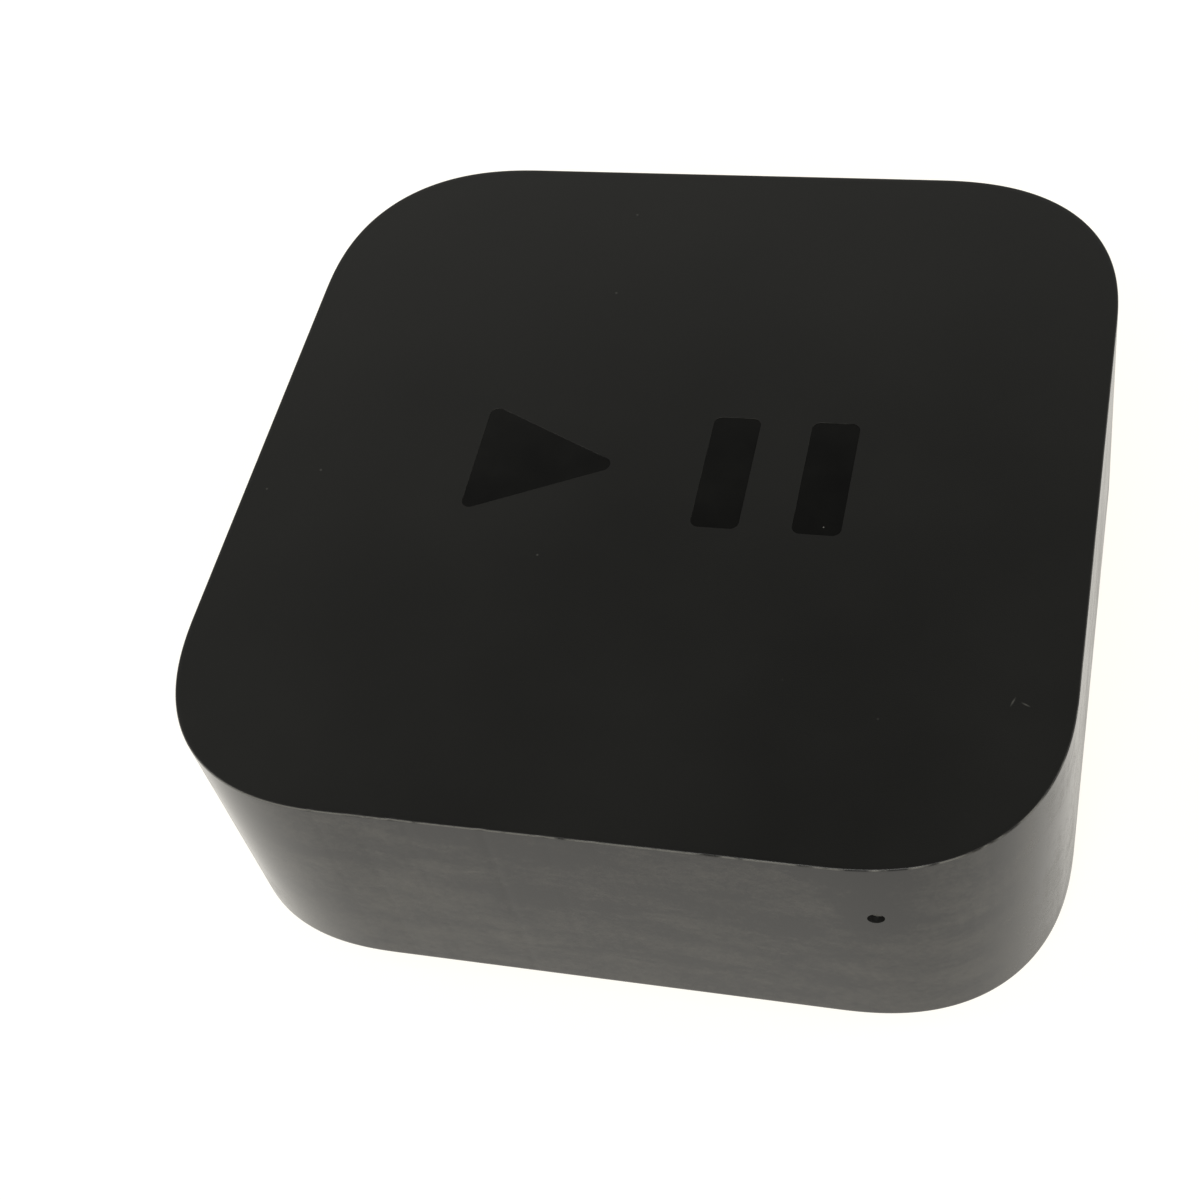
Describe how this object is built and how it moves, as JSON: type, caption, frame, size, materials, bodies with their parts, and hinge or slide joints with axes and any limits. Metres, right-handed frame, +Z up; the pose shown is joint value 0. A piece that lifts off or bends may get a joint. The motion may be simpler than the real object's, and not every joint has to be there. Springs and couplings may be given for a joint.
{
  "type": "streaming media player",
  "caption": "Square black set-top player with rounded corners, a matt top, polished sides, a vented base with a blower inside, and mains, video and network sockets at the rear.",
  "frame": {"origin": "centre of the foot's underside, on the surface it stands on", "axes": "+Z up, front (status light) towards -Y, sockets towards +Y, +X to the right seen from the front"},
  "size_m": [0.098, 0.098, 0.035],
  "materials": {
    "case_gloss_black": "moulded black plastic, polished sides, fine matt top with a polished symbol",
    "base_matt_black": "fine-grained black moulded plastic",
    "foot_rubber": "soft matt black rubber",
    "socket_plastic": "black glass-filled plastic",
    "plated_steel": "nickel-plated sheet steel",
    "gold_plating": "gold-plated copper alloy",
    "clear_plastic": "milky clear plastic",
    "dark_lens": "infrared-clear dark resin",
    "board_green": "solder-masked glass-fibre board",
    "board_tan": "single-sided paper board",
    "chip_resin": "moulded epoxy resin",
    "ferrite": "sintered ferrite and laminated steel",
    "capacitor_ceramic": "fired ceramic",
    "thermal_pad": "soft filled silicone",
    "cast_aluminium": "die-cast, bead-blasted",
    "copper_wire": "enamelled copper",
    "winding_tape": "yellow polyester tape",
    "polyimide": "amber film",
    "pale_plastic": "unfilled pale plastic",
    "can_sleeve": "shrunk sleeve over aluminium",
    "can_aluminium": "drawn can",
    "film_casing": "moulded yellow box",
    "fuse_casing": "moulded brown box"
  },
  "bodies": {
    "case": {"top_shell": "case_gloss_black", "base_cover": "base_matt_black", "foot_pad": "foot_rubber", "mains_inlet_housing": "socket_plastic", "mains_inlet_pins": "plated_steel", "video_socket_shell": "plated_steel", "video_socket_insert": "socket_plastic", "video_socket_contacts": "gold_plating", "network_jack_housing": "socket_plastic", "network_jack_shield": "plated_steel", "network_jack_contacts": "gold_plating", "light_guide": "clear_plastic", "status_led": "clear_plastic", "ir_receiver": "dark_lens", "ir_receiver_can": "plated_steel", "logic_board": "board_green", "main_processor": "chip_resin", "memory_chips": "chip_resin", "flash_chip": "chip_resin", "power_manager": "chip_resin", "video_converter": "chip_resin", "network_controller": "chip_resin", "network_transformer": "chip_resin", "wireless_module": "plated_steel", "power_inductors": "ferrite", "ceramic_capacitors": "capacitor_ceramic", "polymer_capacitors": "chip_resin", "clock_crystals": "plated_steel", "shield_fence": "plated_steel", "shield_lid": "plated_steel", "thermal_pads": "thermal_pad", "heat_sink": "cast_aluminium", "fan_frame": "socket_plastic", "fan_cover": "plated_steel", "fan_bearing": "gold_plating", "fan_stator": "ferrite", "fan_coils": "copper_wire", "fan_circuit": "board_green", "fan_flex": "polyimide", "fan_socket": "pale_plastic", "fan_screws": "plated_steel", "main_screws": "plated_steel", "antenna_carriers": "socket_plastic", "antenna_plates": "copper_wire", "power_board": "board_tan", "transformer_core": "ferrite", "transformer_coil": "winding_tape", "bulk_capacitors": "can_sleeve", "output_capacitors": "can_aluminium", "choke_core": "ferrite", "choke_windings": "copper_wire", "film_capacitor": "film_casing", "mains_fuse": "fuse_casing", "power_semiconductors": "chip_resin", "power_posts": "gold_plating", "power_insulator": "pale_plastic", "power_screws": "plated_steel"},
    "fan_rotor": {"impeller": "socket_plastic", "rotor_magnet": "ferrite", "fan_shaft": "plated_steel"}
  },
  "joints": [
    {"name": "fan_spin", "type": "hinge", "parent": "case", "child": "fan_rotor", "pos_m": [0, 0, 0.0085], "axis": [0, 0, 1], "continuous": true}
  ]
}
